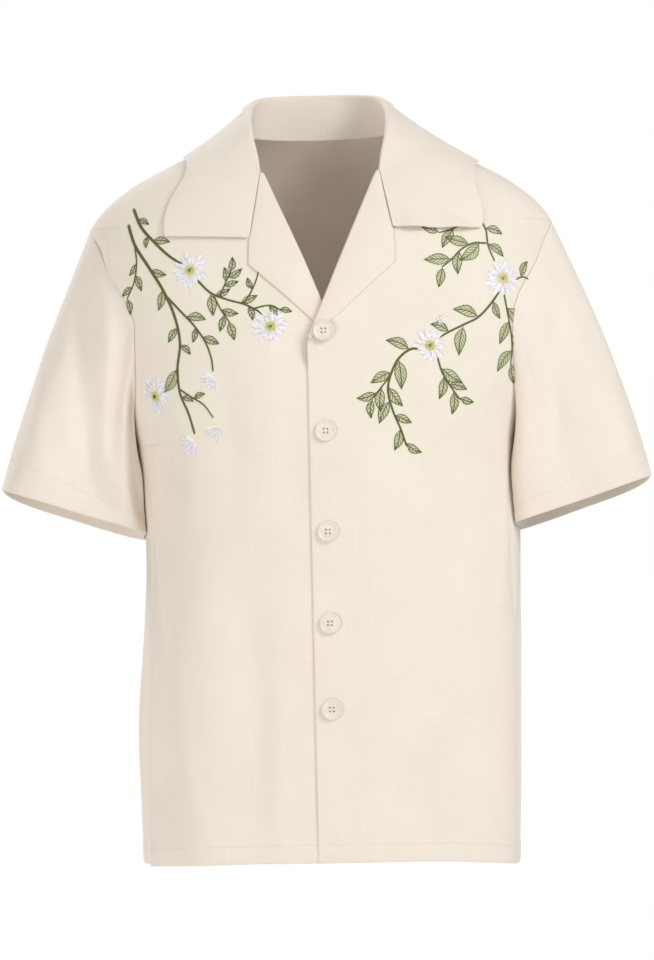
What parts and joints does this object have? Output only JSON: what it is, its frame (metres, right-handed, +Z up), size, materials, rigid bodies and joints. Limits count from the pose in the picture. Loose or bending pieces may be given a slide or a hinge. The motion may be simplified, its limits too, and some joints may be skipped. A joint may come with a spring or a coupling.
{
  "type": "cuban collar shirt",
  "caption": "Short-sleeved cuban collar shirt in worn shape, hollow and open at neck, hem and cuffs, with notched lapels and a buttoned front.",
  "frame": {"origin": "midway between the two points where the shoulder seams meet the neck, 8 mm below them: where the wearer's shoulders carry the shirt", "axes": "+Z up the wearer's body; the front of the shirt faces -Y; +X points to the wearer's left"},
  "size_m": [0.636, 0.2615, 0.7646],
  "materials": {
    "cloth": "matt cream linen-type plain weave with embroidered sprays",
    "button": "satin cream, dished with a raised rim"
  },
  "bodies": {
    "root": {"front_left": "cloth", "front_right": "cloth", "back": "cloth", "lapel_left": "cloth", "lapel_right": "cloth", "collar": "cloth", "sleeve_left": "cloth", "sleeve_right": "cloth", "button_1": "button", "button_2": "button", "button_3": "button", "button_4": "button", "button_5": "button"}
  },
  "joints": []
}
